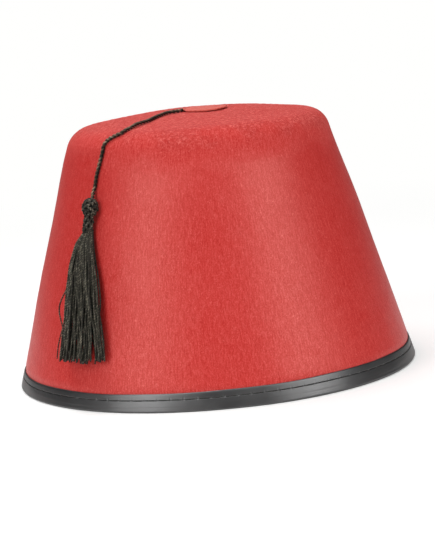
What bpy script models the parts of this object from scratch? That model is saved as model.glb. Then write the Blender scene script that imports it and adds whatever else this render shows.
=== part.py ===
"""A brimless felt hat of fez shape, with a bound rim and a tassel on a cord.

The crown is one moulded felt shell: a cone with a rounded shoulder and a shallow domed
top. A band folded round its edge is sewn on at the rim. A felt button sits on the top,
over the end of a twisted cord, which lies across the crown and down its side to a tassel.

Units are metres, +Z is up, and the origin is the centre of the rim on the ground.
A place on the crown is a bearing (degrees round +Z, 0 at +X), a run (the distance down
the outline from the apex) and a lift (the height above the felt).
"""
import math

import bmesh
import bpy
from mathutils import Matrix, Vector

# Crown
RIM_RADIUS = 0.0970
SHOULDER_RADIUS = 0.0616
SHOULDER_HEIGHT = 0.1224
SHOULDER_ROUND = 0.0120
DOME_RISE = 0.0056
SIDE_BOW = 0.0004
FELT = 0.0020

# Band folded round the rim
BAND_HEIGHT = 0.0088
BAND_INSIDE_HEIGHT = 0.0096
BAND_WALL = 0.0008
BAND_PINCH = 0.0005

# Button over the end of the cord
BUTTON_RADIUS = 0.0112
BUTTON_THICKNESS = 0.0010
BUTTON_EDGE = 0.0002
BUTTON_X = 0.0049
BUTTON_Y = -0.0092
BUTTON_CORD_ANGLE = 200.0

# Cord
CORD_DIAMETER = 0.0022
CORD_STEP = 2.2 * CORD_DIAMETER

# Tassel
KNOT_WIDTH = 0.0078
KNOT_HEIGHT = 0.0086
NECK_WIDTH = 0.0054
NECK_HEIGHT = 0.0072
SKIRT_LENGTH = 0.0606
SKIRT_WIDTH = 0.0276
SKIRT_DEPTH = 0.0120
LOCK_WIDTH = 0.0066

# Clearance between pieces that touch
GAP = 0.0003

TURN_STEPS = 80
MERGE = 0.00001

# Cord's route from the button's edge: bearing, run as a share of the whole outline, and
# the lift of its axis above a cord that lies on the felt, as a share of its diameter
CORD_ROUTE = (
    {"bearing": -127.3, "run": 0.109, "lift": 0.06},
    {"bearing": -127.4, "run": 0.154, "lift": 0.02},
    {"bearing": -125.3, "run": 0.210, "lift": 0.00},
    {"bearing": -126.7, "run": 0.248, "lift": 0.14},
    {"bearing": -126.2, "run": 0.281, "lift": 0.02},
    {"bearing": -127.1, "run": 0.309, "lift": 0.02},
    {"bearing": -130.4, "run": 0.323, "lift": 0.04},
    {"bearing": -132.5, "run": 0.332, "lift": 0.02},
    {"bearing": -133.8, "run": 0.344, "lift": 0.00},
    {"bearing": -133.9, "run": 0.361, "lift": 0.00},
    {"bearing": -134.8, "run": 0.391, "lift": 0.00},
    {"bearing": -135.7, "run": 0.424, "lift": 0.02},
    {"bearing": -135.7, "run": 0.450, "lift": 0.10},
    {"bearing": -135.7, "run": 0.465, "lift": 0.40},
    {"bearing": -135.0, "run": 0.476, "lift": 0.80},
)

# Tassel's line down the side: share of its length, and bearing
TASSEL_TOP = 0.480
TASSEL_LINE = (
    {"share": 0.00, "bearing": -134.0},
    {"share": 0.20, "bearing": -134.9},
    {"share": 0.44, "bearing": -132.8},
    {"share": 0.72, "bearing": -130.8},
    {"share": 1.00, "bearing": -128.8},
)

# Skirt's form: share of its length, and its width, depth and a lock's width there,
# as shares of SKIRT_WIDTH, SKIRT_DEPTH and LOCK_WIDTH
SKIRT_FORM = (
    {"share": 0.00, "width": 0.19, "depth": 0.42, "lock": 0.42},
    {"share": 0.12, "width": 0.36, "depth": 0.68, "lock": 0.58},
    {"share": 0.30, "width": 0.60, "depth": 0.86, "lock": 0.76},
    {"share": 0.50, "width": 0.75, "depth": 0.94, "lock": 0.88},
    {"share": 0.70, "width": 0.87, "depth": 0.98, "lock": 0.95},
    {"share": 0.88, "width": 0.95, "depth": 1.00, "lock": 1.00},
    {"share": 1.00, "width": 1.00, "depth": 1.00, "lock": 0.94},
)

# Skirt's locks: place across it (-1 left, 1 right, seen from outside), place out from
# the side (-1 on the felt, 1 outermost) and length as a share of the skirt's
LOCKS = (
    {"across": -1.00, "out": -0.50, "length": 0.985},
    {"across": -0.62, "out": -1.00, "length": 0.975},
    {"across": -0.15, "out": -1.00, "length": 0.990},
    {"across": 0.36, "out": -1.00, "length": 0.970},
    {"across": -0.44, "out": -0.20, "length": 0.980},
    {"across": 0.00, "out": -0.10, "length": 0.985},
    {"across": 0.98, "out": -0.70, "length": 0.960},
    {"across": -0.66, "out": 0.55, "length": 1.000},
    {"across": -0.22, "out": 0.95, "length": 0.990},
    {"across": 0.20, "out": 0.80, "length": 1.000},
    {"across": 0.84, "out": 0.35, "length": 0.975},
)

# Crown's outline, worked out from the sizes above
LEAN = math.atan2(RIM_RADIUS - SHOULDER_RADIUS, SHOULDER_HEIGHT)
DOWN_SIDE = Vector((math.sin(LEAN), -math.cos(LEAN)))
OFF_SIDE = Vector((math.cos(LEAN), math.sin(LEAN)))
DOME_RADIUS = (SHOULDER_RADIUS**2 + DOME_RISE**2) / (2 * DOME_RISE)
DOME_CENTRE = Vector((0.0, SHOULDER_HEIGHT + DOME_RISE - DOME_RADIUS))


def shoulder_centre():
    """Centre of the arc that rounds the shoulder, touching both the side and the dome."""
    start = Vector((SHOULDER_RADIUS, SHOULDER_HEIGHT)) - OFF_SIDE * SHOULDER_ROUND
    from_dome = start - DOME_CENTRE
    along = from_dome.dot(DOWN_SIDE)
    excess = from_dome.dot(from_dome) - (DOME_RADIUS - SHOULDER_ROUND) ** 2
    return start + DOWN_SIDE * (-along - math.sqrt(along * along - excess))


SHOULDER_CENTRE = shoulder_centre()
DOME_ANGLE = math.atan2(SHOULDER_CENTRE.x, SHOULDER_CENTRE.y - DOME_CENTRE.y)
SIDE_ANGLE = math.pi / 2 - LEAN
SIDE_START = SHOULDER_CENTRE + OFF_SIDE * SHOULDER_ROUND
DOME_RUN = DOME_RADIUS * DOME_ANGLE
SHOULDER_RUN = DOME_RUN + SHOULDER_ROUND * (SIDE_ANGLE - DOME_ANGLE)
BAND_RUN = SHOULDER_RUN + (SIDE_START.y - BAND_HEIGHT) / math.cos(LEAN)
WHOLE_RUN = SHOULDER_RUN + SIDE_START.y / math.cos(LEAN)


def outline(run, lift=0.0):
    """Radius and height of the crown's outer face at a run, moved off it by lift."""
    if run < DOME_RUN:
        angle = run / DOME_RADIUS
        off = Vector((math.sin(angle), math.cos(angle)))
        return DOME_CENTRE + off * (DOME_RADIUS + lift)
    if run < SHOULDER_RUN:
        angle = DOME_ANGLE + (run - DOME_RUN) / SHOULDER_ROUND
        off = Vector((math.sin(angle), math.cos(angle)))
        return SHOULDER_CENTRE + off * (SHOULDER_ROUND + lift)
    share = min((run - SHOULDER_RUN) / (BAND_RUN - SHOULDER_RUN), 1.0)
    bow = SIDE_BOW * 4 * share * (1 - share)
    return SIDE_START + DOWN_SIDE * (run - SHOULDER_RUN) + OFF_SIDE * (bow + lift)


def side_radius(height, lift=0.0):
    """Radius of the straight side near the rim at a height, moved off it by lift."""
    return RIM_RADIUS - height * math.tan(LEAN) + lift / math.cos(LEAN)


def on_crown(bearing, run, lift=0.0, across=0.0):
    """Point on the crown, moved sideways round it by a distance across."""
    radius, height = outline(run, lift)
    angle = math.radians(bearing) + across / radius
    return Vector((radius * math.cos(angle), radius * math.sin(angle), height))


def arc(centre_r, centre_z, radius, start, end, steps):
    """Points of an arc in the outline's plane, between two angles in degrees from +X."""
    turned = [math.radians(start + (end - start) * step / steps) for step in range(steps + 1)]
    return [(centre_r + radius * math.cos(a), centre_z + radius * math.sin(a)) for a in turned]


def smooth_row(rows, key, at):
    """Row of a table at a value of its key column, on a smooth curve through its rows."""
    last = len(rows) - 1
    first = next((k for k in range(last) if at <= rows[k + 1][key]), last - 1)
    before, start, end, after = (rows[min(max(first + k, 0), last)] for k in (-1, 0, 1, 2))
    share = (at - start[key]) / (end[key] - start[key])
    result = {key: at}
    for column in start:
        if column == key:
            continue
        a, b, c, d = (row[column] for row in (before, start, end, after))
        curve = (2 * b, c - a, 2 * a - 5 * b + 4 * c - d, 3 * b - a - 3 * c + d)
        result[column] = sum(value * share**power for power, value in enumerate(curve)) / 2
    return result


def material(name, color, roughness):
    made = bpy.data.materials.new(name)
    made.use_nodes = True
    shader = made.node_tree.nodes["Principled BSDF"]
    shader.inputs["Base Color"].default_value = (*color, 1.0)
    shader.inputs["Roughness"].default_value = roughness
    shader.inputs["Metallic"].default_value = 0.0
    return made


def place(name, data, collection, finish=None):
    made = bpy.data.objects.new(name, data)
    collection.objects.link(made)
    if finish:
        data.materials.append(finish)
    return made


def turned(name, points, collection, finish=None):
    """Closed shape made by turning an outline of (radius, height) points about Z."""
    mesh = bpy.data.meshes.new(name)
    count = len(points)
    closed = points[0][0] > MERGE
    edges = [(k, (k + 1) % count) for k in range(count if closed else count - 1)]
    mesh.from_pydata([(r, 0.0, z) for r, z in points], edges, [])
    made = place(name, mesh, collection, finish)
    screw = made.modifiers.new("Turn", "SCREW")
    screw.steps = screw.render_steps = TURN_STEPS
    screw.use_merge_vertices = True
    screw.merge_threshold = MERGE
    screw.use_smooth_shade = True
    return made


def tube(name, points, radii, collection, finish=None):
    """Curve with filled caps through points, with its radius at each."""
    curve = bpy.data.curves.new(name, "CURVE")
    curve.dimensions = "3D"
    curve.bevel_depth = 1.0
    curve.bevel_resolution = 2
    curve.use_fill_caps = True
    spline = curve.splines.new("POLY")
    spline.points.add(len(points) - 1)
    for knot, point, radius in zip(spline.points, points, radii):
        knot.co = (*point, 1.0)
        knot.radius = radius
    return place(name, curve, collection, finish)


def solid_from(source, name, collection):
    """Mesh object with the evaluated shape of a source object, which is removed."""
    shown = source.evaluated_get(bpy.context.evaluated_depsgraph_get())
    mesh = bpy.data.meshes.new_from_object(shown)
    work = bmesh.new()
    work.from_mesh(mesh)
    bmesh.ops.remove_doubles(work, verts=work.verts, dist=MERGE)
    work.to_mesh(mesh)
    work.free()
    made = place(name, mesh, collection)
    made.matrix_world = source.matrix_world
    bpy.data.objects.remove(source)
    return made


def make_crown(collection):
    """Felt shell, thinner where the band presses it."""
    dome = [DOME_RUN * step / 4 for step in range(4)]
    shoulder = [DOME_RUN + (SHOULDER_RUN - DOME_RUN) * step / 5 for step in range(6)]
    side = [SHOULDER_RUN + (BAND_RUN - SHOULDER_RUN) * step / 4 for step in range(1, 4)]
    runs = dome + shoulder + side
    press = BAND_HEIGHT + 2 * GAP
    hem = BAND_WALL + GAP
    points = [tuple(outline(run)) for run in runs]
    points.append((side_radius(press), press))
    points.append((side_radius(BAND_HEIGHT, -BAND_PINCH), BAND_HEIGHT))
    points.append((side_radius(hem, -BAND_PINCH), hem))
    points.append((side_radius(hem, -FELT), hem))
    points.extend(tuple(outline(run, -FELT)) for run in reversed(runs))
    felt = material("felt", (0.55, 0.035, 0.035), 0.95)
    return turned("crown", points, collection, felt)


def make_band(collection):
    """Band folded under the rim, with a flap outside and a flap inside."""
    inside = -FELT - GAP
    outside = GAP - BAND_PINCH
    floor_out = side_radius(0.0, outside + BAND_WALL) - BAND_WALL
    floor_in = side_radius(0.0, inside - BAND_WALL) + BAND_WALL
    points = [(side_radius(BAND_HEIGHT, outside + BAND_WALL), BAND_HEIGHT)]
    points.extend(arc(floor_out, BAND_WALL, BAND_WALL, 0, -90, 3))
    points.extend(arc(floor_in, BAND_WALL, BAND_WALL, -90, -180, 3))
    points.append((side_radius(BAND_INSIDE_HEIGHT, inside - BAND_WALL), BAND_INSIDE_HEIGHT))
    points.append((side_radius(BAND_INSIDE_HEIGHT, inside), BAND_INSIDE_HEIGHT))
    points.append((side_radius(BAND_WALL, inside), BAND_WALL))
    points.append((side_radius(BAND_WALL, outside), BAND_WALL))
    points.append((side_radius(BAND_HEIGHT, outside), BAND_HEIGHT))
    satin = material("band_satin", (0.012, 0.012, 0.013), 0.35)
    return turned("rim_binding", points, collection, satin)


def make_button(collection):
    """Flat disc that lies on the dome."""
    reach = math.hypot(BUTTON_X, BUTTON_Y)
    bearing = math.degrees(math.atan2(BUTTON_Y, BUTTON_X))
    run = DOME_RADIUS * math.asin(reach / DOME_RADIUS)
    seat = on_crown(bearing, run, GAP)
    upright = (on_crown(bearing, run, 1.0) - on_crown(bearing, run)).normalized()
    mesh = bpy.data.meshes.new("top_button")
    work = bmesh.new()
    bmesh.ops.create_cone(
        work,
        cap_ends=True,
        segments=48,
        radius1=BUTTON_RADIUS,
        radius2=BUTTON_RADIUS,
        depth=BUTTON_THICKNESS,
        matrix=Matrix.Translation((0.0, 0.0, BUTTON_THICKNESS / 2)),
    )
    work.to_mesh(mesh)
    work.free()
    made = place("top_button", mesh, collection, material("button_felt", (0.62, 0.06, 0.05), 0.95))
    made.matrix_world = Matrix.Translation(seat) @ upright.to_track_quat("Z", "Y").to_matrix().to_4x4()
    edge = made.modifiers.new("Edge", "BEVEL")
    edge.width = BUTTON_EDGE
    edge.segments = 2
    edge.limit_method = "ANGLE"
    return made


def cord_exit():
    """Row of the cord's route where it leaves the button's edge, square to it."""
    angle = math.radians(BUTTON_CORD_ANGLE)
    x = BUTTON_X + (BUTTON_RADIUS + GAP) * math.cos(angle)
    y = BUTTON_Y + (BUTTON_RADIUS + GAP) * math.sin(angle)
    run = DOME_RADIUS * math.asin(math.hypot(x, y) / DOME_RADIUS)
    return {"bearing": math.degrees(math.atan2(y, x)), "run": run / WHOLE_RUN, "lift": 0.0}


def cord_points():
    """Points along the cord, from the button's edge to the knot's top."""
    rows = [cord_exit(), *CORD_ROUTE]
    count = math.ceil((rows[-1]["run"] - rows[0]["run"]) * WHOLE_RUN / CORD_STEP)
    points = []
    for step in range(count + 1):
        at = rows[0]["run"] + (rows[-1]["run"] - rows[0]["run"]) * step / count
        row = smooth_row(rows, "run", at)
        lift = GAP + CORD_DIAMETER * (0.5 + row["lift"])
        points.append(on_crown(row["bearing"], at * WHOLE_RUN, lift))
    return points


def make_cord(collection):
    points = cord_points()
    twist = material("cord_yarn", (0.01, 0.01, 0.01), 0.6)
    return tube("tassel_cord", points, [CORD_DIAMETER / 2] * len(points), collection, twist)


def on_tassel(down, lift=0.0, across=0.0):
    """Point at a distance down the tassel's line from the knot's top."""
    length = KNOT_HEIGHT + NECK_HEIGHT + SKIRT_LENGTH
    row = smooth_row(TASSEL_LINE, "share", min(down / length, 1.0))
    return on_crown(row["bearing"], TASSEL_TOP * WHOLE_RUN + down, lift, across)


def make_head(collection):
    """Knot and neck of the tassel, turned about the line between them."""
    half_width = KNOT_WIDTH / 2
    half_height = KNOT_HEIGHT / 2
    neck = NECK_WIDTH / 2
    foot = -half_height - NECK_HEIGHT
    points = [(0.0, half_height)]
    for angle in (62, 36, 10, -16, -42):
        turn = math.radians(angle)
        points.append((half_width * math.cos(turn), half_height * math.sin(turn)))
    points.append((neck, -half_height))
    points.append((neck, foot))
    points.append((neck * 0.8, foot - NECK_WIDTH / 2))
    points.append((0.0, foot - NECK_WIDTH / 2))
    source = turned("head", points, collection)
    source.modifiers["Turn"].steps = source.modifiers["Turn"].render_steps = 16
    lift = GAP + half_width
    centre = on_tassel(half_height, lift)
    upright = (centre - on_tassel(KNOT_HEIGHT + NECK_HEIGHT, lift)).normalized()
    source.matrix_world = Matrix.Translation(centre) @ upright.to_track_quat("Z", "Y").to_matrix().to_4x4()
    bpy.context.view_layer.update()
    return solid_from(source, "tassel", collection)


def make_lock(index, lock, collection):
    """Lock of the skirt, a tube that widens and moves out from the others on its way down."""
    top = KNOT_HEIGHT + NECK_HEIGHT - NECK_WIDTH / 4
    points = []
    radii = []
    for form in SKIRT_FORM:
        share = form["share"] * lock["length"]
        row = smooth_row(SKIRT_FORM, "share", share)
        radius = LOCK_WIDTH * row["lock"] / 2
        half_width = max(SKIRT_WIDTH * row["width"] / 2 - radius, 0.0)
        half_depth = max(SKIRT_DEPTH * row["depth"] / 2 - radius, 0.0)
        lift = GAP + radius + half_depth * (1 + lock["out"])
        down = top + (SKIRT_LENGTH + NECK_WIDTH / 4) * share
        points.append(on_tassel(down, lift, half_width * lock["across"]))
        radii.append(radius)
    source = tube("lock_%d" % index, points, radii, collection)
    bpy.context.view_layer.update()
    return solid_from(source, "lock_%d" % index, collection)


def make_tassel(collection):
    """Knot, neck and skirt, joined into one solid."""
    head = make_head(collection)
    locks = [make_lock(index, lock, collection) for index, lock in enumerate(LOCKS)]
    for lock in locks:
        union = head.modifiers.new("Join", "BOOLEAN")
        union.operation = "UNION"
        union.object = lock
    bpy.context.view_layer.update()
    tassel = solid_from(head, "tassel", collection)
    tassel.name = "tassel"
    for lock in locks:
        bpy.data.objects.remove(lock)
    tassel.data.materials.clear()
    tassel.data.materials.append(material("tassel_yarn", (0.014, 0.015, 0.014), 0.55))
    return tassel


def main():
    for old in list(bpy.data.objects):
        bpy.data.objects.remove(old)
    parts = bpy.data.collections.new("fez_hat")
    bpy.context.scene.collection.children.link(parts)
    make_crown(parts)
    make_band(parts)
    make_button(parts)
    make_cord(parts)
    make_tassel(parts)


main()
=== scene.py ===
"""Looks of the felt fez: fibrous felt, sewn rim band, felt button, twisted cord, yarn tassel.

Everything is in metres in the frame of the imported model, +Z up. A place on the crown is
a bearing (degrees round +Z, 0 at +X), a run (distance down the outline from the apex)
and a lift (height above the felt). The photograph looks along +Y.
"""
import math

import bpy
import numpy as np
from mathutils import Matrix, Vector, noise


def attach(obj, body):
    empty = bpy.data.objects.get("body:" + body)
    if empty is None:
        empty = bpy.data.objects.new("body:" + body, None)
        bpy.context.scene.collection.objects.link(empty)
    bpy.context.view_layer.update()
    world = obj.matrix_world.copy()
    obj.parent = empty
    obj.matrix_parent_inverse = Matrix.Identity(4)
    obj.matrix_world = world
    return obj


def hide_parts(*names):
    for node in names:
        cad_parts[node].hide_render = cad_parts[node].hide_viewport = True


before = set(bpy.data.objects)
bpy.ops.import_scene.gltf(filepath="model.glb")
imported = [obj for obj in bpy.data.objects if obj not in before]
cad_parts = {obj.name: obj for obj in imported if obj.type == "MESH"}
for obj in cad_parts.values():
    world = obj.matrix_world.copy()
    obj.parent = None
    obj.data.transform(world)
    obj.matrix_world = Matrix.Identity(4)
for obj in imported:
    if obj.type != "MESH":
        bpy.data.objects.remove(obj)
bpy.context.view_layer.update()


def table(names, *rows):
    """Rows of values, each under the names of the columns."""
    return [dict(zip(names.split(), row)) for row in rows]


# Crown, as in the model
RIM_RADIUS = 0.0970
SHOULDER_RADIUS = 0.0616
SHOULDER_HEIGHT = 0.1224
SHOULDER_ROUND = 0.0120
DOME_RISE = 0.0056
SIDE_BOW = 0.0004
FELT = 0.0020

# Clearance between pieces, as in the model
GAP = 0.0003

# Band
BAND_HEIGHT = 0.0086
BAND_INSIDE_HEIGHT = 0.0094
BAND_WALL = 0.0008
BAND_PINCH = 0.0005
STITCHES = 97
STITCH_DROP = 0.37
THREAD_RADIUS = 0.00018

# Button
BUTTON_RADIUS = 0.0112
BUTTON_THICKNESS = 0.0011
BUTTON_TRIM = 0.0002
BUTTON_SHIFT = 0.0009
BUTTON_X = 0.0049
BUTTON_Y = -0.0092
BUTTON_CORD_ANGLE = 200.0
BUTTON_CURL_ANGLE = -30.0

# Cord, a little thinner than the model's. Its route is repeated from the model: a run is a
# share of the crown's outline, and a lift is a share of the cord's thickness
CORD_LAY = 0.0040
CORD_TWIST = 0.0018
CORD_UNDER_BUTTON = 0.005
CORD_INTO_SKIRT = 0.020
CORD_ROUTE = table(
    "bearing run lift",
    (-127.3, 0.109, 0.06),
    (-127.4, 0.154, 0.02),
    (-125.3, 0.210, 0.00),
    (-126.7, 0.248, 0.14),
    (-126.2, 0.281, 0.02),
    (-127.1, 0.309, 0.02),
    (-130.4, 0.323, 0.04),
    (-132.5, 0.332, 0.02),
    (-133.8, 0.344, 0.00),
    (-133.9, 0.361, 0.00),
    (-134.8, 0.391, 0.00),
    (-135.7, 0.424, 0.02),
    (-135.7, 0.450, 0.10),
    (-135.7, 0.465, 0.40),
    (-135.0, 0.476, 0.80),
)

# Tassel, as in the model, but with a skirt that is a little fuller at its foot
KNOT_WIDTH = 0.0078
KNOT_HEIGHT = 0.0086
NECK_WIDTH = 0.0054
NECK_HEIGHT = 0.0072
SKIRT_LENGTH = 0.0606
SKIRT_WIDTH = 0.0276
SKIRT_DEPTH = 0.0120
TASSEL_TOP = 0.480
SKIRT_TOP = KNOT_HEIGHT + NECK_HEIGHT
TASSEL_LINE = table(
    "share bearing",
    (0.00, -134.0),
    (0.20, -134.9),
    (0.44, -132.8),
    (0.72, -130.8),
    (1.00, -128.8),
)
# Width and depth of the skirt as shares of the model's greatest ones, and how far its
# middle hangs to the left of the tassel's line
SKIRT_FORM = table(
    "share width depth left",
    (0.00, 0.19, 0.42, 0.0000),
    (0.12, 0.45, 0.68, 0.0013),
    (0.30, 0.70, 0.86, 0.0024),
    (0.50, 0.81, 0.94, 0.0024),
    (0.70, 0.93, 0.98, 0.0026),
    (0.88, 1.03, 1.00, 0.0034),
    (1.00, 1.09, 1.00, 0.0040),
)
YARNS = 128
YARN_RADIUS = 0.00046
YARN_LAY = 0.0024
SKIRT_FLATTEN = 0.72

# Camera that was fitted to the photograph's outline
CAMERA_DISTANCE = 1.0
CAMERA_TARGET = Vector((0.0, 0.0, 0.06))
CAMERA_ELEVATION = math.radians(8.33)
CAMERA_ROLL = math.radians(5.05)
FOCAL_PIXELS = 2043.9
IMAGE_WIDTH = 435
IMAGE_HEIGHT = 537
TARGET_COLUMN = 207.8
TARGET_ROW = 246.6
SENSOR = 36.0

# Crown's outline, worked out from the sizes above
LEAN = math.atan2(RIM_RADIUS - SHOULDER_RADIUS, SHOULDER_HEIGHT)
DOWN_SIDE = np.array((math.sin(LEAN), -math.cos(LEAN)))
OFF_SIDE = np.array((math.cos(LEAN), math.sin(LEAN)))
DOME_RADIUS = (SHOULDER_RADIUS**2 + DOME_RISE**2) / (2 * DOME_RISE)
DOME_CENTRE = np.array((0.0, SHOULDER_HEIGHT + DOME_RISE - DOME_RADIUS))


def shoulder_centre():
    """Centre of the arc that rounds the shoulder, touching both the side and the dome."""
    start = np.array((SHOULDER_RADIUS, SHOULDER_HEIGHT)) - OFF_SIDE * SHOULDER_ROUND
    from_dome = start - DOME_CENTRE
    along = from_dome @ DOWN_SIDE
    excess = from_dome @ from_dome - (DOME_RADIUS - SHOULDER_ROUND) ** 2
    return start + DOWN_SIDE * (-along - math.sqrt(along * along - excess))


SHOULDER_CENTRE = shoulder_centre()
DOME_ANGLE = math.atan2(SHOULDER_CENTRE[0], SHOULDER_CENTRE[1] - DOME_CENTRE[1])
SIDE_ANGLE = math.pi / 2 - LEAN
SIDE_START = SHOULDER_CENTRE + OFF_SIDE * SHOULDER_ROUND
DOME_RUN = DOME_RADIUS * DOME_ANGLE
SHOULDER_RUN = DOME_RUN + SHOULDER_ROUND * (SIDE_ANGLE - DOME_ANGLE)
BAND_RUN = SHOULDER_RUN + (SIDE_START[1] - BAND_HEIGHT) / math.cos(LEAN)
WHOLE_RUN = SHOULDER_RUN + SIDE_START[1] / math.cos(LEAN)


def outline(run, lift=0.0):
    """Radii, heights and outward directions of the crown's face at runs, moved off by lift."""
    run = np.asarray(run, float)
    dome_turn = run / DOME_RADIUS
    shoulder_turn = DOME_ANGLE + (run - DOME_RUN) / SHOULDER_ROUND
    turn = np.where(run < DOME_RUN, dome_turn, np.minimum(shoulder_turn, SIDE_ANGLE))
    off = np.stack((np.sin(turn), np.cos(turn)), -1)
    dome = DOME_CENTRE + off * DOME_RADIUS
    shoulder = SHOULDER_CENTRE + off * SHOULDER_ROUND
    share = np.clip((run - SHOULDER_RUN) / (BAND_RUN - SHOULDER_RUN), 0, 1)
    bow = (SIDE_BOW * 4 * share * (1 - share))[..., None]
    side = SIDE_START + DOWN_SIDE * (run - SHOULDER_RUN)[..., None] + off * bow
    lower = np.where((run < SHOULDER_RUN)[..., None], shoulder, side)
    face = np.where((run < DOME_RUN)[..., None], dome, lower)
    point = face + off * np.asarray(lift)[..., None]
    return point[..., 0], point[..., 1], off


def bump(value, centre, width):
    """Smooth hill of height 1 round a centre."""
    return np.exp(-(((value - centre) / width) ** 2))


def near(bearing, centre, reach):
    """Smooth hill of height 1 round a bearing, all in degrees."""
    return bump((np.asarray(bearing) - centre + 180.0) % 360.0 - 180.0, 0.0, reach)


# Uneven places of the soft felt: bearing and its reach in degrees, run as a share of the
# outline and its reach, and height in metres
UNEVEN = table(
    "bearing turn run reach height",
    (180, 42, 0.325, 0.045, -0.00050),
    (5, 38, 0.330, 0.040, 0.00040),
    (-50, 40, 0.980, 0.140, 0.00090),
    (-100, 20, 0.990, 0.160, -0.00070),
    (-8, 16, 0.980, 0.150, -0.00045),
    (-86, 7, 0.850, 0.200, -0.00050),
    (62, 30, 0.600, 0.150, -0.00060),
    (128, 36, 0.800, 0.180, 0.00050),
    (125, 55, 0.260, 0.100, -0.00045),
)


def unevenness(bearing, run):
    """Height of the felt's soft waves over the true outline."""
    share = np.asarray(run) / WHOLE_RUN
    total = np.zeros(np.broadcast(bearing, run).shape)
    for place in UNEVEN:
        hill = near(bearing, place["bearing"], place["turn"])
        total = total + place["height"] * hill * bump(share, place["run"], place["reach"])
    turn = np.radians(bearing)
    fade = np.clip(share * 3, 0, 1)
    for height, count, down, start in ((0.00012, 3, 14, 0.0), (0.00009, 5, -22, 1.3)):
        total = total + height * fade * np.sin(count * turn + down * share + start)
    return total


def on_crown(bearing, run, lift=0.0, across=0.0):
    """Points over the uneven felt, moved sideways round the crown by a distance across."""
    bearing, run, lift, across = np.broadcast_arrays(bearing, run, lift, across)
    radius = np.maximum(outline(run, lift)[0], 1e-6)
    turned = bearing + np.degrees(across / radius)
    radius, height, _ = outline(run, lift + unevenness(turned, run))
    angle = np.radians(turned)
    return np.stack((radius * np.cos(angle), radius * np.sin(angle), height), -1)


def off_crown(bearing, run):
    """Outward directions of the crown at places."""
    bearing, run = np.broadcast_arrays(bearing, run)
    _, _, off = outline(run)
    angle = np.radians(bearing)
    return np.stack((off[..., 0] * np.cos(angle), off[..., 0] * np.sin(angle), off[..., 1]), -1)


def smooth_rows(rows, key, at):
    """Columns of a table at values of its key column, on a smooth curve through its rows."""
    at = np.asarray(at, float)
    keys = np.array([row[key] for row in rows])
    last = len(rows) - 1
    first = np.clip(np.searchsorted(keys, at) - 1, 0, last - 1)
    share = (at - keys[first]) / (keys[first + 1] - keys[first])
    result = {}
    for column in rows[0]:
        value = np.array([row[column] for row in rows])
        a, b, c, d = (value[np.clip(first + step, 0, last)] for step in (-1, 0, 1, 2))
        linear = (c - a) * share
        square = (2 * a - 5 * b + 4 * c - d) * share**2
        cube = (3 * b - a - 3 * c + d) * share**3
        result[column] = b + (linear + square + cube) / 2
    result[key] = at
    return result


def on_tassel(down, lift=0.0, across=0.0):
    """Points at distances down the tassel's line from the knot's top."""
    share = np.asarray(down) / (SKIRT_TOP + SKIRT_LENGTH)
    row = smooth_rows(TASSEL_LINE, "share", np.minimum(share, 1.0))
    return on_crown(row["bearing"], TASSEL_TOP * WHOLE_RUN + np.asarray(down), lift, across)


def unit(vectors):
    return vectors / np.maximum(np.linalg.norm(vectors, axis=-1, keepdims=True), 1e-12)


def path_frames(path, guide):
    """Unit tangents and two cross directions along a path, the first one close to a guide."""
    tangent = unit(np.gradient(path, axis=0))
    first = unit(guide - tangent * np.sum(guide * tangent, -1, keepdims=True))
    return tangent, first, np.cross(tangent, first)


def around(angle, first, second):
    """Directions at angles from a first direction towards a second one."""
    return np.cos(angle)[:, None] * first + np.sin(angle)[:, None] * second


def path_lengths(path):
    return np.concatenate(([0.0], np.cumsum(np.linalg.norm(np.diff(path, axis=0), axis=1))))


def resample(path, count):
    """The path with points at equal distances."""
    along = path_lengths(path)
    even = np.linspace(0, along[-1], count)
    return np.stack([np.interp(even, along, path[:, axis]) for axis in range(3)], -1)


def new_object(name, data):
    made = bpy.data.objects.new(name, data)
    bpy.context.scene.collection.objects.link(made)
    return made


class Shape:
    """Collects grids of points into one mesh."""

    def __init__(self):
        self.points = []
        self.painted_light = []
        self.faces = []
        self.count = 0

    def grid(self, points, wrap_rows=False, cap=False, flip=False, painted_light=None):
        """Adds quads over points[row, column], with a painted glint for each point; low is painted shade.
        """
        rows, columns = points.shape[:2]
        index = self.count + np.arange(rows * columns).reshape(rows, columns)
        index = np.concatenate((index, index[:, :1]), 1)
        if wrap_rows:
            index = np.concatenate((index, index[:1]), 0)
        quads = np.stack((index[:-1, :-1], index[:-1, 1:], index[1:, 1:], index[1:, :-1]), -1)
        if flip:
            quads = quads[..., ::-1]
        self.faces.extend(quads.reshape(-1, 4).tolist())
        self.points.append(points.reshape(-1, 3))
        self.painted_light.append(np.ones(rows * columns) if painted_light is None else painted_light.reshape(-1))
        self.count += rows * columns
        if cap:
            self.faces.append(index[0, :columns][::-1].tolist())
            self.faces.append(index[-1, :columns].tolist())

    def fan(self, centre, ring_start, columns, outward):
        """Adds triangles from a centre point to the ring that starts at a vertex."""
        self.points.append(np.asarray(centre, float).reshape(1, 3))
        self.painted_light.append(np.ones(1))
        middle = self.count
        self.count += 1
        for k in range(columns):
            a, b = ring_start + k, ring_start + (k + 1) % columns
            self.faces.append([middle, a, b] if outward else [middle, b, a])

    def make(self, name, finish, slot):
        mesh = bpy.data.meshes.new(name)
        mesh.from_pydata(np.concatenate(self.points).tolist(), [], self.faces)
        mesh.update()
        mesh.shade_smooth()
        painted_light = mesh.attributes.new("painted_light", "FLOAT", "POINT")
        painted_light.data.foreach_set("value", np.concatenate(self.painted_light))
        mesh.materials.append(finish)
        made = new_object(name, mesh)
        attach(made, "root")
        return made


# Ridges on a ply as a share of its width, their twist against the ply's, power by which
# the painted glint falls to painted shade at a yarn's sides, and the dullest painted
# glint's share of the brightest
RIDGE_DEPTH = 0.07
RIDGE_TWIST = 2.2
PAINTED_SHADE_FALL = 2.2
GLINT_LEAST = 0.12


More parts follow.
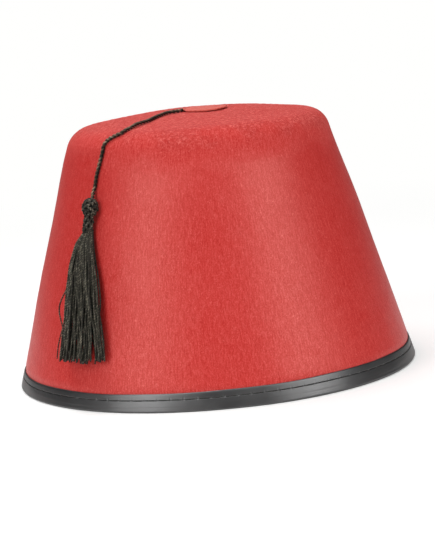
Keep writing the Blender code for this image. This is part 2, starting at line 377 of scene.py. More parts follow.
def plied(shape, path, guide, radius, lay, painted_glints, plies=2, sides=6, phase=0.0, ridges=0, taper=0.0):
    """Adds a yarn of plies that are twisted to the right.

    Its colour holds painted light: a painted glint for each turn, which fades to painted
    shade away from the guide's side and between the plies.
    """
    along = path_lengths(path)
    _, first, second = path_frames(path, guide)
    radius = np.broadcast_to(radius, len(path))
    ends = np.minimum(along, along[-1] - along)
    squeeze = 1.0 - taper * np.exp(-ends / radius.max())
    spread = math.sin(math.pi / plies)
    reach = 1.02 / (1 + spread) * radius * squeeze
    width = 1.05 * spread / (1 + spread) * radius * squeeze
    angle = np.linspace(0, math.tau, sides, endpoint=False)
    for ply in range(plies):
        turn = math.tau * along / lay + phase + math.tau * ply / plies
        off = around(turn, first, second)
        centre = path + off * reach[:, None]
        _, out, side = path_frames(centre, off)
        ripple = np.ones((len(path), sides))
        if ridges:
            ripple += RIDGE_DEPTH * np.cos(ridges * angle[None, :] - RIDGE_TWIST * turn[:, None])
        ring = around(angle, out[:, None, :], side[:, None, :])
        at = (turn / math.tau + 3 * ply) % (len(painted_glints) - 1)
        painted_glint = np.interp(at, np.arange(len(painted_glints)), painted_glints)
        points = centre[:, None, :] + ring * (width[:, None] * ripple)[..., None]
        # Painted light: bright where a ply faces along the guide, painted shade at its sides and between
        # the plies
        facing = ((points - path[:, None, :]) * first[:, None, :]).sum(-1) / radius[:, None]
        painted_light = painted_glint[:, None] * np.clip(facing, 0, 1) ** PAINTED_SHADE_FALL
        shape.grid(points, cap=True, painted_light=painted_light)


def painted_glint_row(rng, count=41):
    """Painted glint of each turn of a yarn: mostly dull, with a few bright ones."""
    bright = rng.uniform(0, 1, count) ** 2.0
    return (GLINT_LEAST + (1 - GLINT_LEAST) * bright) * rng.uniform(0.35, 1.6)


# Materials


def join(tree, value, socket):
    """Links a value that comes from a node, or sets it."""
    if isinstance(value, bpy.types.NodeSocket):
        tree.links.new(value, socket)
    else:
        socket.default_value = value


def add_node(tree, kind, inputs, operation=None):
    """A new node, with inputs that are linked or set."""
    node = tree.nodes.new(kind)
    if operation:
        node.operation = operation
    for name, value in inputs.items():
        join(tree, value, node.inputs[name])
    return node


class Nodes:
    """Short names for the nodes of one material."""

    def __init__(self, name):
        self.material = bpy.data.materials.new(name)
        self.material.use_nodes = True
        self.tree = self.material.node_tree
        self.shader = self.tree.nodes["Principled BSDF"]
        self.place = self.tree.nodes.new("ShaderNodeTexCoord").outputs["Object"]

    def add(self, kind, inputs, operation=None):
        return add_node(self.tree, kind, inputs, operation)

    def vector(self, operation, a, b=(0.0, 0.0, 0.0)):
        return self.add("ShaderNodeVectorMath", {0: a, 1: b}, operation)

    def scaled(self, factors):
        return self.vector("MULTIPLY", self.place, factors).outputs[0]

    def noise(self, vector, scale, detail=2.0, rough=0.5, distortion=0.0):
        inputs = dict(Vector=vector, Scale=scale, Detail=detail, Roughness=rough, Distortion=distortion)
        return self.add("ShaderNodeTexNoise", inputs).outputs["Fac"]

    def ramp(self, value, low, high, out_low=0.0, out_high=1.0):
        """Smooth step from out_low to out_high while the value goes from low to high."""
        inputs = {"Value": value, "From Min": low, "From Max": high, "To Min": out_low, "To Max": out_high}
        node = self.add("ShaderNodeMapRange", inputs)
        node.interpolation_type = "SMOOTHSTEP"
        return node.outputs["Result"]

    def math(self, operation, a, b=0.0):
        return self.add("ShaderNodeMath", {0: a, 1: b}, operation).outputs[0]

    def blend(self, share, a, b):
        """A share of one value and the rest of another."""
        rest = self.math("MULTIPLY", b, 1 - share)
        return self.math("ADD", self.math("MULTIPLY", a, share), rest)

    def mix(self, share, a, b):
        node = self.tree.nodes.new("ShaderNodeMix")
        node.data_type = "RGBA"
        join(self.tree, share, node.inputs["Factor"])
        for name, given in (("A", a), ("B", b)):
            socket = next(s for s in node.inputs if s.name == name and s.type == "RGBA")
            color = given if isinstance(given, bpy.types.NodeSocket) else (*given, 1.0)
            join(self.tree, color, socket)
        return next(s for s in node.outputs if s.type == "RGBA")

    def bump(self, height, distance, strength, under=None):
        inputs = dict(Height=height, Distance=distance, Strength=strength)
        if under is not None:
            inputs["Normal"] = under
        return self.add("ShaderNodeBump", inputs).outputs["Normal"]

    def finish(self, color, roughness, normal=None, **fixed):
        inputs = self.shader.inputs
        join(self.tree, color, inputs["Base Color"])
        join(self.tree, roughness, inputs["Roughness"])
        if normal is not None:
            join(self.tree, normal, inputs["Normal"])
        for name, value in fixed.items():
            inputs[name.replace("_", " ")].default_value = value
        return self.material


# Felt: radius where its streaks have their true width, radius of the top, which has none,
# scale along the long streaks, colour of light flecks (on the loose pile partly painted
# glints of its lumps), and heights that loose, dull pile sets in over
PILE_RADIUS = 0.078
PILE_TOP_RADIUS = 0.058
LONG_STREAK = 0.25
FLECK_AND_GLINT = (0.84, 0.150, 0.130)
LOOSE_RISE = 0.009
DULL_FROM = -0.010
DULL_TO = 0.003


def pile_place(nodes, streak):
    """Object place drawn out along the crown's slope, so that noise in it makes streaks."""
    flat = nodes.vector("LENGTH", nodes.scaled((1.0, 1.0, 0.0))).outputs["Value"]
    turned = nodes.math("DIVIDE", PILE_RADIUS, nodes.math("MAXIMUM", flat, PILE_TOP_RADIUS))
    factors = nodes.add("ShaderNodeCombineXYZ", {0: turned, 1: turned, 2: streak})
    return nodes.vector("MULTIPLY", nodes.place, factors.outputs[0]).outputs[0]


def felt_material(name, middle, light, dark, streak, rough_above):
    """Pressed felt: fine fibres drawn out along the slope, coarser and duller above a height, with flecks
    that are partly painted glints and shade.
    """
    nodes = Nodes(name)
    fine = nodes.noise(pile_place(nodes, streak), 3000, 2.0, 0.6, 0.3)
    long = nodes.noise(pile_place(nodes, streak * LONG_STREAK), 2400, 1.0, 0.5, 0.2)
    cloud = nodes.noise(nodes.place, 38, 3.0, 0.55)
    fibre = nodes.noise(nodes.scaled((1.0, 1.0, 0.5)), 3200, 2.0, 0.7, 1.5)
    grain = nodes.noise(nodes.place, 640, 4.0, 0.8, 0.6)
    specks = nodes.noise(nodes.scaled((1.0, 1.0, 0.7)), 1150, 1.0, 0.5, 1.5)
    level = nodes.add("ShaderNodeSeparateXYZ", {0: nodes.place}).outputs["Z"]
    height = nodes.math("ADD", level, nodes.ramp(cloud, 0.3, 0.7, -0.004, 0.004))
    loose = nodes.ramp(height, rough_above, rough_above + LOOSE_RISE)
    tone = nodes.blend(0.62, fine, long)
    color = nodes.mix(nodes.ramp(tone, 0.36, 0.51), dark, middle)
    color = nodes.mix(nodes.ramp(tone, 0.49, 0.64), color, light)
    # On the loose pile the light and dark flecks are partly the felt's mottling and partly painted glints
    # and painted shade of its lumps
    dark_fleck_and_shade = nodes.math("MULTIPLY", nodes.ramp(grain, 0.48, 0.38, 0.0, 0.80), loose)
    light_fleck_and_glint = nodes.math("MULTIPLY", nodes.ramp(grain, 0.52, 0.62), loose)
    color = nodes.mix(dark_fleck_and_shade, color, dark)
    color = nodes.mix(light_fleck_and_glint, color, FLECK_AND_GLINT)
    color = nodes.mix(nodes.ramp(cloud, 0.35, 0.65, 0.0, 0.12), color, light)
    color = nodes.mix(nodes.ramp(specks, 0.35, 0.27, 0.0, 0.75), color, dark)
    color = nodes.mix(nodes.ramp(specks, 0.64, 0.72, 0.0, 0.55), color, FLECK_AND_GLINT)
    normal = nodes.bump(nodes.blend(0.6, tone, fibre), 0.00022, 0.5)
    normal = nodes.bump(nodes.math("MULTIPLY", grain, loose), 0.00120, 0.8, normal)
    pressed = nodes.ramp(tone, 0.3, 0.7, 0.44, 0.34)
    duller = nodes.ramp(height, rough_above + DULL_FROM, rough_above + DULL_TO, 0.0, 0.42)
    roughness = nodes.math("ADD", pressed, duller)
    return nodes.finish(
        color,
        roughness,
        normal,
        Specular_IOR_Level=0.90,
        Specular_Tint=(1.0, 0.60, 0.52, 1.0),
        Sheen_Weight=0.08,
        Sheen_Roughness=0.30,
        Sheen_Tint=(1.0, 0.60, 0.55, 1.0),
    )


def band_material():
    """Black imitation leather with a fine grain and a soft gloss."""
    nodes = Nodes("band_satin")
    grain = nodes.noise(nodes.place, 1600, 2.0, 0.6)
    wrinkle = nodes.noise(nodes.scaled((1.0, 1.0, 3.2)), 260, 3.0, 0.6, 0.5)
    cloud = nodes.noise(nodes.place, 60, 2.0, 0.5)
    color = nodes.mix(nodes.ramp(cloud, 0.3, 0.7), (0.011, 0.011, 0.012), (0.021, 0.021, 0.021))
    roughness = nodes.ramp(nodes.blend(0.6, cloud, grain), 0.3, 0.7, 0.33, 0.43)
    normal = nodes.bump(wrinkle, 0.00005, 0.5)
    normal = nodes.bump(grain, 0.00003, 0.5, normal)
    return nodes.finish(color, roughness, normal, IOR=1.7, Specular_IOR_Level=1.0)


def yarn_material(name, dark, light, roughness, gloss):
    """Black rayon: fine fibres along the yarn, rougher between the plies, with painted grey-olive glints
    on them and painted shade between them.
    """
    nodes = Nodes(name)
    fibre = nodes.noise(nodes.scaled((1.0, 1.0, 0.25)), 5200, 2.0, 0.6)
    fleck = nodes.noise(nodes.place, 1800, 2.0, 0.6, 0.3)
    source = nodes.add("ShaderNodeAttribute", {})
    source.attribute_name = "painted_light"
    painted_light = source.outputs["Fac"]
    # Painted glints and painted shade: the base colour runs from dark to light with the painted light
    painted_glint_share = nodes.math("MULTIPLY", painted_light, nodes.ramp(fleck, 0.35, 0.65, 0.45, 1.35))
    color = nodes.mix(painted_glint_share, dark, light)
    normal = nodes.bump(fibre, 0.00005, 0.6)
    dull = nodes.ramp(painted_light, 0.0, 0.7, 0.34, 0.0)
    rough = nodes.math("ADD", nodes.ramp(fibre, 0.3, 0.7, roughness - 0.04, roughness + 0.08), dull)
    return nodes.finish(
        color,
        rough,
        normal,
        Specular_IOR_Level=gloss,
        Specular_Tint=(1.0, 0.97, 0.86, 1.0),
        Sheen_Weight=0.02,
        Sheen_Roughness=0.5,
    )


# Looks of the yarns, and of the felts with the height above which their pile is loose
# For the yarns, light is the colour of their painted glints and dark is their own black
YARN_LOOKS = table(
    "name dark light roughness gloss",
    ("cord_yarn", (0.003, 0.003, 0.002), (0.500, 0.340, 0.230), 0.22, 0.25),
    ("tassel_yarn", (0.003, 0.003, 0.002), (0.430, 0.390, 0.290), 0.20, 0.50),
    ("thread", (0.004, 0.004, 0.004), (0.120, 0.115, 0.100), 0.28, 0.40),
)
FELT_LOOKS = table(
    "name middle light dark streak rough_above",
    ("crown_felt", (0.650, 0.033, 0.029), (0.740, 0.080, 0.072), (0.560, 0.008, 0.007), 0.42, 0.1145),
    # button_felt: the crown's red felt painted paler and pinker, as the painted light that the disc
    # catches
    ("button_felt", (0.780, 0.130, 0.100), (0.900, 0.240, 0.190), (0.620, 0.070, 0.055), 0.8, 0.0),
)


# Camera, floor and lights


def make_camera():
    """Camera at the photograph's angle, turned so that the target falls on its pixel."""
    level, rise = math.cos(CAMERA_ELEVATION), math.sin(CAMERA_ELEVATION)
    forward = Vector((0.0, level, -rise))
    level_right = Vector((1.0, 0.0, 0.0))
    level_up = Vector((0.0, rise, level))
    right = level_right * math.cos(CAMERA_ROLL) - level_up * math.sin(CAMERA_ROLL)
    up = level_right * math.sin(CAMERA_ROLL) + level_up * math.cos(CAMERA_ROLL)
    to_right = (IMAGE_WIDTH / 2 - TARGET_COLUMN) / FOCAL_PIXELS
    to_top = (TARGET_ROW - IMAGE_HEIGHT / 2) / FOCAL_PIXELS
    aim = (forward + right * to_right + up * to_top).normalized()
    right = (right - aim * right.dot(aim)).normalized()
    turn = Matrix((right, right.cross(aim), -aim)).transposed()
    data = bpy.data.cameras.new("camera")
    data.sensor_width = SENSOR
    data.lens = FOCAL_PIXELS * SENSOR / IMAGE_HEIGHT
    data.clip_start = 0.05
    data.clip_end = 50.0
    camera = new_object("camera", data)
    camera.matrix_world = Matrix.Translation(CAMERA_TARGET - forward * CAMERA_DISTANCE) @ turn.to_4x4()
    bpy.context.scene.camera = camera


# Softboxes: bearing and elevation of each, its distance, its width and height, and power
LIGHTS = table(
    "name bearing elevation distance width height power",
    ("box_left", -134, 26, 1.5, 0.76, 1.10, 8.2),
    ("box_right", -38, 26, 1.5, 0.76, 1.10, 9.4),
    ("front", -90, 42, 1.6, 1.20, 0.60, 2.0),
    ("overhead", 150, 76, 1.2, 0.90, 0.90, 10.5),
    ("back", 100, 36, 1.5, 1.30, 0.50, 3.4),
)


def make_lights():
    for row in LIGHTS:
        data = bpy.data.lights.new(row["name"], "AREA")
        data.shape = "RECTANGLE"
        data.size = row["width"]
        data.size_y = row["height"]
        data.energy = row["power"]
        light = new_object(row["name"], data)
        bearing = math.radians(row["bearing"])
        elevation = math.radians(row["elevation"])
        level = math.cos(elevation)
        away = Vector((math.cos(bearing) * level, math.sin(bearing) * level, math.sin(elevation)))
        light.location = CAMERA_TARGET + away * row["distance"]
        light.rotation_mode = "QUATERNION"
        light.rotation_quaternion = away.to_track_quat("Z", "Y")
    make_world()
    bpy.context.scene.view_settings.view_transform = "Standard"


# White that the camera sees, and strength of the room's light on the hat
WHITE = (1.0, 1.0, 0.99, 1.0)
ROOM_LIGHT = 0.04


def make_world():
    """White surroundings, whose light on the hat is weaker than they look."""
    world = bpy.data.worlds.new("studio")
    world.use_nodes = True
    tree = world.node_tree
    room = tree.nodes["Background"]
    room.inputs["Color"].default_value = (1.0, 1.0, 1.0, 1.0)
    room.inputs["Strength"].default_value = ROOM_LIGHT
    seen = add_node(tree, "ShaderNodeBackground", {"Color": WHITE, "Strength": 1.0})
    path = add_node(tree, "ShaderNodeLightPath", {}).outputs["Is Camera Ray"]
    inputs = {0: path, 1: room.outputs[0], 2: seen.outputs[0]}
    mix = add_node(tree, "ShaderNodeMixShader", inputs)
    join(tree, mix.outputs[0], tree.nodes["World Output"].inputs["Surface"])
    bpy.context.scene.world = world


# Floor: its rings and their points, distances over which its glow comes in, the glow's
# strength as a light, and how much brighter the camera sees the floor near the hat
FLOOR_RINGS = (0.3, 1.0, 3.0, 14.0)
FLOOR_SIDES = 48
FLOOR_NEAR = 0.16
FLOOR_FAR = 0.75
FLOOR_GLOW = 0.26
FLOOR_LIFT = 0.24


def floor_material():
    """White, which glows softly away from the hat like a lit studio table."""
    nodes = Nodes("floor_white")
    cloud = nodes.noise(nodes.place, 9.0, 2.0, 0.5)
    color = nodes.mix(cloud, (0.86, 0.86, 0.855), (0.88, 0.88, 0.875))
    nodes.finish(color, 0.9, Specular_IOR_Level=0.1, Emission_Color=WHITE)
    path = nodes.add("ShaderNodeLightPath", {}).outputs["Is Camera Ray"]
    lift = nodes.ramp(path, 0.0, 1.0, 0.0, FLOOR_LIFT)
    join(nodes.tree, lift, nodes.shader.inputs["Emission Strength"])
    strength = nodes.ramp(path, 0.0, 1.0, FLOOR_GLOW, 1.0)
    glow = nodes.add("ShaderNodeEmission", {"Color": WHITE, "Strength": strength})
    far = nodes.ramp(nodes.vector("LENGTH", nodes.place).outputs["Value"], FLOOR_NEAR, FLOOR_FAR)
    inputs = {0: far, 1: nodes.shader.outputs[0], 2: glow.outputs[0]}
    mix = nodes.add("ShaderNodeMixShader", inputs)
    join(nodes.tree, mix.outputs[0], nodes.tree.nodes["Material Output"].inputs["Surface"])
    return nodes.material


def make_floor():
    turns = np.linspace(0, math.tau, FLOOR_SIDES, endpoint=False)
    points = [(r * math.cos(a), r * math.sin(a), 0.0) for r in FLOOR_RINGS for a in turns]
    faces = [list(range(FLOOR_SIDES))]
    for ring in range(len(FLOOR_RINGS) - 1):
        for k in range(FLOOR_SIDES):
            a = ring * FLOOR_SIDES + k
            b = ring * FLOOR_SIDES + (k + 1) % FLOOR_SIDES
            faces.append([a, a + FLOOR_SIDES, b + FLOOR_SIDES, b])
    mesh = bpy.data.meshes.new("floor")
    mesh.from_pydata(points, [], faces)
    mesh.materials.append(floor_material())
    floor = new_object("floor", mesh)


# Cord

# Depth of the hidden end, lift in the tassel, points, and rise of the way the painted glints face
CORD_SINK = 0.0012
CORD_IN_TASSEL = 0.0036
CORD_POINTS = 460
CORD_GUIDE_RISE = 0.02


def cord_exit():
    """Row of the cord's route where it leaves the button's edge."""
    angle = math.radians(BUTTON_CORD_ANGLE)
    x = BUTTON_X + (BUTTON_RADIUS + GAP) * math.cos(angle)
    y = BUTTON_Y + (BUTTON_RADIUS + GAP) * math.sin(angle)
    run = DOME_RADIUS * math.asin(math.hypot(x, y) / DOME_RADIUS)
    return {"bearing": math.degrees(math.atan2(y, x)), "run": run / WHOLE_RUN, "lift": 0.0}


def cord_path():
    """The cord's centreline: from under the button, along the felt, into the skirt."""
    rows = [cord_exit(), *CORD_ROUTE]
    row = smooth_rows(rows, "run", np.linspace(rows[0]["run"], rows[-1]["run"], 160))
    free = on_crown(row["bearing"], row["run"] * WHOLE_RUN, CORD_TWIST * (0.5 + row["lift"]))
    start = free[0]
    inward = unit(np.array((BUTTON_X, BUTTON_Y, start[2])) - start)
    steps = np.linspace(1.0, 0.1, 8)[:, None]
    under = start + inward * CORD_UNDER_BUTTON * steps - np.array((0, 0, 1)) * CORD_SINK * steps**2
    down = np.linspace(0.0010, SKIRT_TOP + CORD_INTO_SKIRT, 60)
    hidden = on_tassel(down, CORD_IN_TASSEL)
    path = np.concatenate((under, free, hidden))
    return resample(path, CORD_POINTS), start


def make_cord(finish):
    path, start = cord_path()
    # The cord's painted glints face out from the axis and only a little up, so that its top is darker
    guide = unit(path * np.array((1, 1, 0)) + np.array((0, 0, CORD_GUIDE_RISE)))
    shape = Shape()
    painted_glints = painted_glint_row(np.random.default_rng(3))
    plied(shape, path, guide, CORD_TWIST / 2, CORD_LAY, painted_glints, sides=14, ridges=5)
    cord = shape.make("cord_twist", finish, "cord_yarn")
    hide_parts("tassel_cord")
    return cord, path, start


# Crown

# Columns of the felt, runs where its middle and its fine rows end, the first step of each
# stretch, and the run over which the band pinches the felt
FELT_COLUMNS = 256
MIDDLE_RUN = 0.022
GRAIN_RUN = SHOULDER_RUN + 0.003
ROW_STEP = 0.0006
PINCH_RUN = 0.0006

# Lumps of the top, which are pressed flat over a run, and wide swells all over
LUMPS_PER_METRE = 480.0
LUMP_HEIGHT = 0.00016
PRESS_RUN = 0.020
SWELLS_PER_METRE = 130.0
SWELL_HEIGHT = 0.00007


def felt_grain(points, run):
    """Height of the felt's lumps: coarse on the top, pressed flat on the side."""
    places = [Vector(point) for point in points.tolist()]
    lumps = np.array([noise.fractal(place * LUMPS_PER_METRE, 0.8, 2.0, 2) for place in places])
    swells = np.array([noise.noise(place * SWELLS_PER_METRE) for place in places])
    pressed = np.clip((run - GRAIN_RUN + PRESS_RUN) / PRESS_RUN, 0, 1)
    return lumps * LUMP_HEIGHT * (1 - pressed) ** 1.5 + swells * SWELL_HEIGHT


def felt_rows(shape, runs, columns, pinch):
    """Adds rows of the felt's outer face and gives the first and last rings' first vertices."""
    bearings = np.linspace(0, 360, columns, endpoint=False)
    face = on_crown(bearings[None, :], runs[:, None], -pinch[:, None])
    grain = felt_grain(face.reshape(-1, 3), np.repeat(runs, columns)).reshape(face.shape[:2])
    first = shape.count
    shape.grid(on_crown(bearings[None, :], runs[:, None], grain - pinch[:, None]), flip=True)
    return first, shape.count - columns


def bridge(shape, coarse, fine, columns, outward):
    """Joins a ring to a ring with twice as many points."""
    for k in range(columns):
        a, b = coarse + k, coarse + (k + 1) % columns
        c, d, e = fine + 2 * k, fine + 2 * k + 1, fine + (2 * k + 2) % (2 * columns)
        for face in ([a, d, c], [a, b, d], [b, e, d]):
            shape.faces.append(face if outward else face[::-1])


def make_crown(finish):
    """Felt shell: outer face, hem and inner face."""
    hem = WHOLE_RUN - (BAND_WALL + GAP) / math.cos(LEAN)
    shape = Shape()
    middle = np.linspace(ROW_STEP, MIDDLE_RUN, 34)
    grainy = np.linspace(MIDDLE_RUN + ROW_STEP, GRAIN_RUN, 78)
    side = np.linspace(GRAIN_RUN + ROW_STEP, hem, 72)
    inner_top = np.linspace(ROW_STEP, SHOULDER_RUN, 16)
    inner_side = np.linspace(SHOULDER_RUN, hem, 26)[1:]
    inner = np.concatenate((inner_top, inner_side))[::-1]
    side_pinch = BAND_PINCH * np.clip((side - BAND_RUN + PINCH_RUN) / PINCH_RUN, 0, 1)
    first, middle_end = felt_rows(shape, middle, FELT_COLUMNS, middle * 0)
    grainy_start, grainy_end = felt_rows(shape, grainy, FELT_COLUMNS * 2, grainy * 0)
    side_start, side_end = felt_rows(shape, side, FELT_COLUMNS, side_pinch)
    bridge(shape, middle_end, grainy_start, FELT_COLUMNS, outward=False)
    bridge(shape, side_start, grainy_end, FELT_COLUMNS, outward=True)
    bearings = np.linspace(0, 360, FELT_COLUMNS, endpoint=False)
    back = on_crown(bearings[None, :], inner[:, None], -FELT)
    back_start = shape.count
    shape.grid(back, flip=True)
    for k in range(FELT_COLUMNS):
        after = (k + 1) % FELT_COLUMNS
        shape.faces.append([back_start + k, back_start + after, side_end + after, side_end + k])
    apex = on_crown(0.0, 0.0)
    last = shape.count - FELT_COLUMNS
    shape.fan(apex, first, FELT_COLUMNS, outward=True)
    shape.fan(apex - np.array((0, 0, FELT)), last, FELT_COLUMNS, outward=False)
    crown = shape.make("crown_felt", finish, "crown_felt")
    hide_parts("crown")


# Band


def band_height(bearing):
    """Height of the band's upper edge, which wanders a little."""
    turn = np.radians(bearing)
    wide = near(bearing, -40.0, 55.0)
    narrow = near(bearing, -150.0, 45.0)
    wander = 0.00010 * np.sin(7 * turn + 0.7) + 0.00007 * np.sin(13 * turn + 2.1)
    return BAND_HEIGHT + 0.0003 * wide - 0.0005 * narrow + wander


# Heights of the foot's fold and of the pocket over it, the fold's spare width and rounded
# share, and place of the inner stitches as a share of the inner flap
BAND_FOOT = BAND_WALL * 0.9
BAND_POCKET = BAND_WALL * 0.8
FOLD_SPARE = 0.0006
FOLD_ROUND = 0.30
INSIDE_STITCH = 0.62

# Places of the band's columns between one stitch hole and the next
STITCH_COLUMNS = (0.0, 0.03, 0.065, 0.11, 0.18, 0.32, 0.50, 0.68, 0.82, 0.89, 0.935, 0.97)


def from_hole(bearing):
    """Distance to the nearest stitch hole, as a share of a stitch."""
    phase = (np.asarray(bearing) / 360.0 * STITCHES) % 1.0
    return np.minimum(phase, 1 - phase)


def pucker(bearing):
    """How near a bearing is to a stitch hole: 1 at the hole, 0 between holes."""
    return bump(from_hole(bearing), 0.0, 0.06)


def side_place(bearing, height, lift):
    """Points near the rim at heights above the ground, lifted off the felt's straight side."""
    run = WHOLE_RUN - (np.asarray(height) - np.asarray(lift) * math.sin(LEAN)) / math.cos(LEAN)
    return on_crown(bearing, run, lift)


# Long shallow creases in the band's lower part, at shares of its height from the top
CREASE_WIDTH = 0.022
CREASES = table(
    "bearing turn share drift depth",
    (-128, 34, 0.80, 0.020, 0.00005),
    (-118, 22, 0.62, 0.015, 0.00004),
    (-60, 30, 0.74, 0.025, 0.00005),
    (-35, 20, 0.86, 0.012, 0.00004),
    (40, 40, 0.78, 0.020, 0.00005),
    (130, 45, 0.72, 0.022, 0.00005),
)


def band_face(bearing, share):
    """Lift of the band's outer face over the felt's, at a share of its height from the top."""
    hole = pucker(bearing)
    turn = np.radians(bearing)
    roll = 0.00002 * bump(share, STITCH_DROP * 0.5, 0.13)
    belly = 0.00006 * bump(share, 0.68, 0.22)
    groove = (0.00021 + 0.00014 * hole) * bump(share, STITCH_DROP, 0.021)
    drawn = 0.00004 * hole * bump(share, STITCH_DROP, 0.11)
    rim = 0.00011 * bump(from_hole(bearing), 0.10, 0.035) * bump(share, STITCH_DROP - 0.03, 0.06)
    edge = 0.00016 * bump(share, 0.0, 0.030)
    crease = np.zeros(np.broadcast(bearing, share).shape)
    for place in CREASES:
        reach = near(bearing, place["bearing"], place["turn"])
        drift = place["drift"] * np.sin(9 * turn + place["turn"])
        across = bump(share - place["share"], drift, CREASE_WIDTH)
        crease = crease + place["depth"] * reach * across
    return BAND_WALL - BAND_PINCH + roll + belly + rim - groove - drawn - edge - crease


def band_shares():
    """Shares of the band's height for its rows, closer together at the stitch groove."""
    even = np.linspace(0.03, 1.0, 22)
    groove = STITCH_DROP + np.linspace(-0.045, 0.045, 11)
    return np.unique(np.concatenate(([0.0], even[np.abs(even - STITCH_DROP) > 0.05], groove)))


def outer_flap(bearing, height):
    """Rows of the band's outer face, from its upper edge to its foot."""
    rows = []
    for share in band_shares():
        level = height * (1 - share) + BAND_FOOT * share
        rows.append(side_place(bearing, level, band_face(bearing, share)))
    return rows


def foot_fold(outer_foot):
    """Rows of the fold under the hem: flat, and rounded at both its sides."""
    inward = unit(-outer_foot * np.array((1, 1, 0)))
    reach = BAND_WALL * 2 + FELT - BAND_PINCH + 2 * GAP + FOLD_SPARE
    rows = []
    for share in (0.06, 0.16, 0.30, 0.50, 0.70, 0.84, 0.94):
        inside = min(min(share, 1 - share) / FOLD_ROUND, 1.0)
        level = BAND_FOOT * (1 - math.sqrt(max(0.0, 1 - (1 - inside) ** 2)))
        ring = outer_foot + inward * (share * reach)
        rows.append(np.column_stack((ring[:, 0], ring[:, 1], np.full(len(ring), level))))
    return rows


def inner_flap(bearing, height):
    """Rows of the band's inner face, from its foot to its upper edge."""
    back = -FELT - GAP - BAND_WALL
    hole = pucker(bearing)
    rows = []
    for share in np.linspace(0, 1, 16):
        level = BAND_FOOT * (1 - share) + height * share
        drawn = (0.00020 + 0.00018 * hole) * bump(share, INSIDE_STITCH, 0.08)
        rows.append(side_place(bearing, level, back + drawn))
    return rows


def make_band(finish):
    places = np.arange(STITCHES)[:, None] + np.array(STITCH_COLUMNS)
    bearing = places.reshape(-1) * 360.0 / STITCHES
    height = band_height(bearing)
    inner_height = BAND_INSIDE_HEIGHT + 0.0002 * np.sin(np.radians(bearing) * 5)
    rows = outer_flap(bearing, height)
    rows.extend(foot_fold(rows[-1]))
    rows.extend(inner_flap(bearing, inner_height))
    pocket = (
        (inner_height, -FELT - 0.00005),
        (BAND_POCKET, -FELT * 0.9),
        (BAND_POCKET, -BAND_PINCH - 0.0001),
        (height - 0.0001, -BAND_PINCH + 0.0002),
    )
    rows.extend(side_place(bearing, level, lift) for level, lift in pocket)
    shape = Shape()
    shape.grid(np.array(rows), wrap_rows=True, flip=True)
    band = shape.make("band_sewn", finish, "band")
    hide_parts("rim_binding")


# Stitches: twist of the thread, and how far one may slant and shift
THREAD_LAY = 0.0014
STITCH_SLANT = 0.00012
STITCH_SHIFT = 0.00006


def add_thread(shape, bearing, level, lift, radius, painted_glints):
    """One stitch at heights above the ground and lifts over the felt."""
    path = resample(side_place(bearing, level, lift), 22)
    plied(shape, path, off_crown(bearing[:1], BAND_RUN), radius, THREAD_LAY, painted_glints, sides=5)


def make_stitches(finish):
    """Thread between the holes, outside and inside."""
    shape = Shape()
    rng = np.random.default_rng(7)
    step = 360.0 / STITCHES
    along = np.linspace(0.04, 0.96, 14)
    slope = 2 * along - 1
    sink = np.abs(slope) ** 5
    for stitch in range(STITCHES):
        bearing = (stitch + along) * step
        slant = rng.uniform(-STITCH_SLANT, STITCH_SLANT) * slope
        drift = slant + rng.uniform(-STITCH_SHIFT, STITCH_SHIFT)
        radius = THREAD_RADIUS * rng.uniform(0.9, 1.12)
        painted_glints = painted_glint_row(rng, 9)
        level = band_height(bearing) * (1 - STITCH_DROP) + BAND_FOOT * STITCH_DROP + drift
        lift = band_face(bearing, STITCH_DROP) + THREAD_RADIUS * 0.55 - sink * 0.00045
        add_thread(shape, bearing, level, lift, radius, painted_glints)
        level = BAND_INSIDE_HEIGHT * INSIDE_STITCH + drift
        lift = -FELT - GAP - BAND_WALL + 0.00012 - THREAD_RADIUS * 0.5 + sink * 0.0004
        add_thread(shape, bearing, level, lift, radius, painted_glints)
    shape.make("band_stitches", finish, "band")


# Button

BUTTON_SIDES = 96


def make_button(finish):
    """Felt disc, laid over the cord's end, with one edge curled up a little, in felt painted paler than
    the crown's as painted light.
    """
    turn = np.linspace(0, math.tau, BUTTON_SIDES, endpoint=False)
    edge = 1 + 0.006 * np.sin(5 * turn + 1) + 0.004 * np.sin(11 * turn)
    squash = np.where(turn < math.pi, 0.90, 1.0)
    cord_turn = math.radians(BUTTON_CORD_ANGLE)
    curl_turn = math.radians(BUTTON_CURL_ANGLE)

    def lay(share, lift):
        radius = (BUTTON_RADIUS - BUTTON_TRIM) * share * edge
        x = BUTTON_X - BUTTON_SHIFT + radius * np.cos(turn)
        y = BUTTON_Y + radius * np.sin(turn) * squash
        run = DOME_RADIUS * np.arcsin(np.hypot(x, y) / DOME_RADIUS)
        along = share * np.cos(turn - cord_turn)
        aside = share * np.sin(turn - cord_turn)
        over_cord = 0.0008 * np.clip((along - 0.35) / 0.65, 0, 1) ** 1.5 * bump(aside, 0.0, 0.20)
        curl = 0.0004 * np.clip(share * np.cos(turn - curl_turn), 0, 1) ** 4
        lift = lift * (1 - 0.30 * np.clip(share * np.sin(turn), 0, 1))
        return on_crown(np.degrees(np.arctan2(y, x)), run, lift + over_cord + curl)

    rows = [lay(share, BUTTON_THICKNESS) for share in np.linspace(0.03, 0.97, 22)]
    rows.append(lay(0.99, BUTTON_THICKNESS * 0.93))
    rows.extend(lay(1.0, BUTTON_THICKNESS * part) for part in (0.75, 0.50, 0.40))
    rows.extend(lay(share, 0.0003) for share in (0.985, 0.8, 0.5, 0.2, 0.03))
    shape = Shape()
    grid = np.array(rows)
    shape.grid(grid, flip=True)
    last = (len(rows) - 1) * BUTTON_SIDES
    shape.fan(grid[0].mean(0), 0, BUTTON_SIDES, outward=True)
    shape.fan(grid[-1].mean(0), last, BUTTON_SIDES, outward=False)
    button = shape.make("button_felt", finish, "button_felt")
    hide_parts("top_button")


# Tassel

